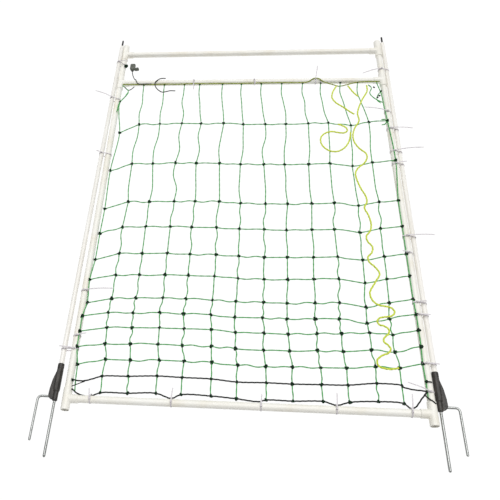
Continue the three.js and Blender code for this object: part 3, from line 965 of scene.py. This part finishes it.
def add_tie(node, circles, to_gate, head, end):
    """Tie with its band round the circles, its head and its tail as far as end."""
    box = rounded_box(head, (TIE_HEAD, TIE_HEAD, TIE_HEAD - 0.6), rounding=0.8)
    nub_size = (TIE_HEAD - 2.4, TIE_HEAD - 1.6, TIE_HEAD)
    nub = rounded_box(head + Vector((0, 0, 0.5)), nub_size, rounding=0.5)
    shape = merged([band(circles, to_gate), box, nub, tail(head, end)])
    add_piece(f"{node}_strap", shape, "cable_tie", stands_for=(node,))


def add_stile_tie(node, sign, y, with_post, out, up):
    """Tie round a stile, the edge of the net if it reaches that high, and the post if it holds it."""
    circles = [(sign * STILE_X, AXIS_Z, PIPE_R)]
    if y < SELVAGE_TOP_Y:
        circles.append((sign * SELVAGE_X, stile_surface(SELVAGE_X, TWINE_R), TWINE_R * 1.25))
    if with_post:
        post = (RIGHT_POST_X, FOOT_Z) if sign > 0 else left_post_at(y)
        circles.append((*post, POST_R))
    highest = max(circles, key=lambda circle: circle[1] + circle[2])
    top = highest[1] + highest[2] + TIE_CLEAR + TIE_THICK
    head = Vector((highest[0], y, top + TIE_HEAD / 2 - 1.2))
    end = Vector((sign * (STILE_X + out), y + up, top + TIE_HEAD / 2))
    add_tie(node, circles, lambda u, v, width: Vector((u, y + width, v)), head, end)


def add_rail_tie(node, x, rail_y, line, along, up):
    """Tie round a rail and the line that runs along it."""
    circles = [(rail_y, AXIS_Z, PIPE_R), line]
    top = AXIS_Z + PIPE_R + TIE_CLEAR + TIE_THICK
    head = Vector((x, rail_y, top + TIE_HEAD / 2 - 1.2))
    end = Vector((x + along, rail_y + up, top + TIE_HEAD / 2))
    add_tie(node, circles, lambda u, v, width: Vector((x + width, u, v)), head, end)


def add_ties():
    for side, sign, ties in (("right", 1, RIGHT_TIES), ("left", -1, LEFT_TIES)):
        for i, (y, with_post, out, up) in enumerate(ties, 1):
            add_stile_tie(f"{side}_tie_{i}", sign, y, with_post, out, up)
    for i, (column, past, along, up) in enumerate(BOTTOM_TIES, 1):
        x = -SELVAGE_X + column * PITCH + past
        add_rail_tie(f"bottom_tie_{i}", x, 0, (15, 7, LINE_R), along, up)
    for i, (column, past, along, up) in enumerate(NET_RAIL_TIES, 1):
        x = -SELVAGE_X + column * PITCH + past
        add_rail_tie(f"net_rail_tie_{i}", x, NET_RAIL_Y, (TOP_LINE_Y, TOP_LINE_Z, LINE_R), along, up)


# Energiser lead

LEAD_X = -STILE_X + PIPE_R + 3.55


def add_lead_knot():
    """Knotted cord end on the left stile's shoulder."""
    centre = Matrix.Translation((LEAD_X, TOP_RAIL_Y - 76, AXIS_Z + 11))
    outer = moved(overhand_knot(6.4, 2.2, sides=10, steps=48), centre)
    inner = moved(overhand_knot(5.6, 2, sides=10, steps=48), centre @ Matrix.Rotation(1.2, 4, "X"))
    add_piece(
        "lead_knot_tied", merged([outer, inner]), "net_knot", stands_for=("lead_knot",), slot="net_twine",
        sharp=70,
    )


def add_lead_clip():
    """The clip beside the knot: a rounded shell with a collar and a knob."""
    clip_at = Vector((LEAD_X + 24, TOP_RAIL_Y - 66, 9.3))
    shell = rounded_box(clip_at, (21, 30, 14), rounding=5, segments=4)
    collar_at = Matrix.Translation(clip_at - Vector((0, 21, 0)))
    collar = moved(revolve([(0, 5), (1.5, 6.5), (7, 6.5), (8.5, 5)], sides=32), collar_at)
    knob_at = Matrix.Translation(clip_at + Vector((7, -14, -1))) @ Matrix.Rotation(-1.35, 4, "Z")
    knob = moved(revolve([(0, 3), (1, 5.2), (10, 6.8), (16, 6.8), (19, 4.6)], sides=32), knob_at)
    shape = fused([shell, collar, knob], voxel=0.8, smoothing=3)
    add_piece("lead_clip_moulding", shape, "clip_plastic", stands_for=("lead_clip",))


def add_lead_wires():
    """The wire down to the net, a hook of it at the corner and the curl round the rail."""
    over = NET_RAIL_Y + PIPE_R
    top = AXIS_Z + PIPE_R + 1.8
    lead = [
        (LEAD_X + 24, TOP_RAIL_Y - 86, 9), (LEAD_X + 28, TOP_RAIL_Y - 109, 8), (LEAD_X + 40, over + 14, 10),
        (LEAD_X + 47, over, top - 2), (LEAD_X + 51, NET_RAIL_Y, top),
        (LEAD_X + 57, NET_RAIL_Y - PIPE_R, top - 1), (LEAD_X + 64, 1249, 21), (LEAD_X + 84, 1249, 21),
        (LEAD_X + 112, 1250, 20.5),
    ]
    hook = [(-478, 1236, 20), (-470, 1226, 17), (-461, 1222, 16), (-453, 1225, 17), (-441, 1239, 18)]
    wires = [sweep(spline(path, 2), 1.6, sides=10, ends=0.6) for path in (lead, hook)]
    add_piece("lead_wire_run", merged(wires), "black_line", stands_for=("lead_wire",))
    curl = [
        (-280, 1223, 9), (-301, 1224, 9), (-318, 1219, 9), (-331, 1216, 10), (-346, 1224, 13),
        (-359, 1240, 18), (-360, 1252, 25), (-350, 1266, 26), (-338, 1274, 25.5), (-320, 1276, 24),
    ]
    shape = sweep(spline(curl, 2), 1.8, sides=10, ends=0.6)
    add_piece("wire_curl_run", shape, "black_line", stands_for=("wire_curl",))


# Setting


def add_stage():
    """Plain white floor that stays white under soft light."""
    half = 6000
    z = -0.2
    corners = [(-half, -half, z), (half, -half, z), (half, half, z), (-half, half, z)]
    floor = new_object("floor", (corners, [[0, 1, 2, 3]]))
    material = new_material("floor_white", (0.02, 0.02, 0.02, 1), 0.9, specular=0.0)
    shader = material.node_tree.nodes["Principled BSDF"]
    shader.inputs["Emission Color"].default_value = (1, 1, 1, 1)
    shader.inputs["Emission Strength"].default_value = 1.02
    floor.data.materials.append(material)


def add_light():
    world = bpy.data.worlds.new("studio")
    world.use_nodes = True
    background = world.node_tree.nodes["Background"]
    background.inputs["Color"].default_value = (1, 1, 1, 1)
    background.inputs["Strength"].default_value = 0.28
    bpy.context.scene.world = world
    sun = bpy.data.lights.new("overhead", "SUN")
    sun.energy = 2.5
    sun.angle = math.radians(60)
    lamp = bpy.data.objects.new("overhead", sun)
    lamp.rotation_euler = (math.radians(-14), math.radians(6), 0)
    bpy.context.scene.collection.objects.link(lamp)
    settings = bpy.context.scene.view_settings
    settings.view_transform = "Standard"
    settings.look = "None"
    settings.exposure = 0
    settings.gamma = 1


add_camera()
add_ropes()
add_frame()
add_post("right", "hinge_post")
add_post("left", "gate")
add_netting()
add_lines()
add_top_line()
add_corners()
add_ties()
add_lead_knot()
add_lead_clip()
add_lead_wires()
add_stage()
add_light()
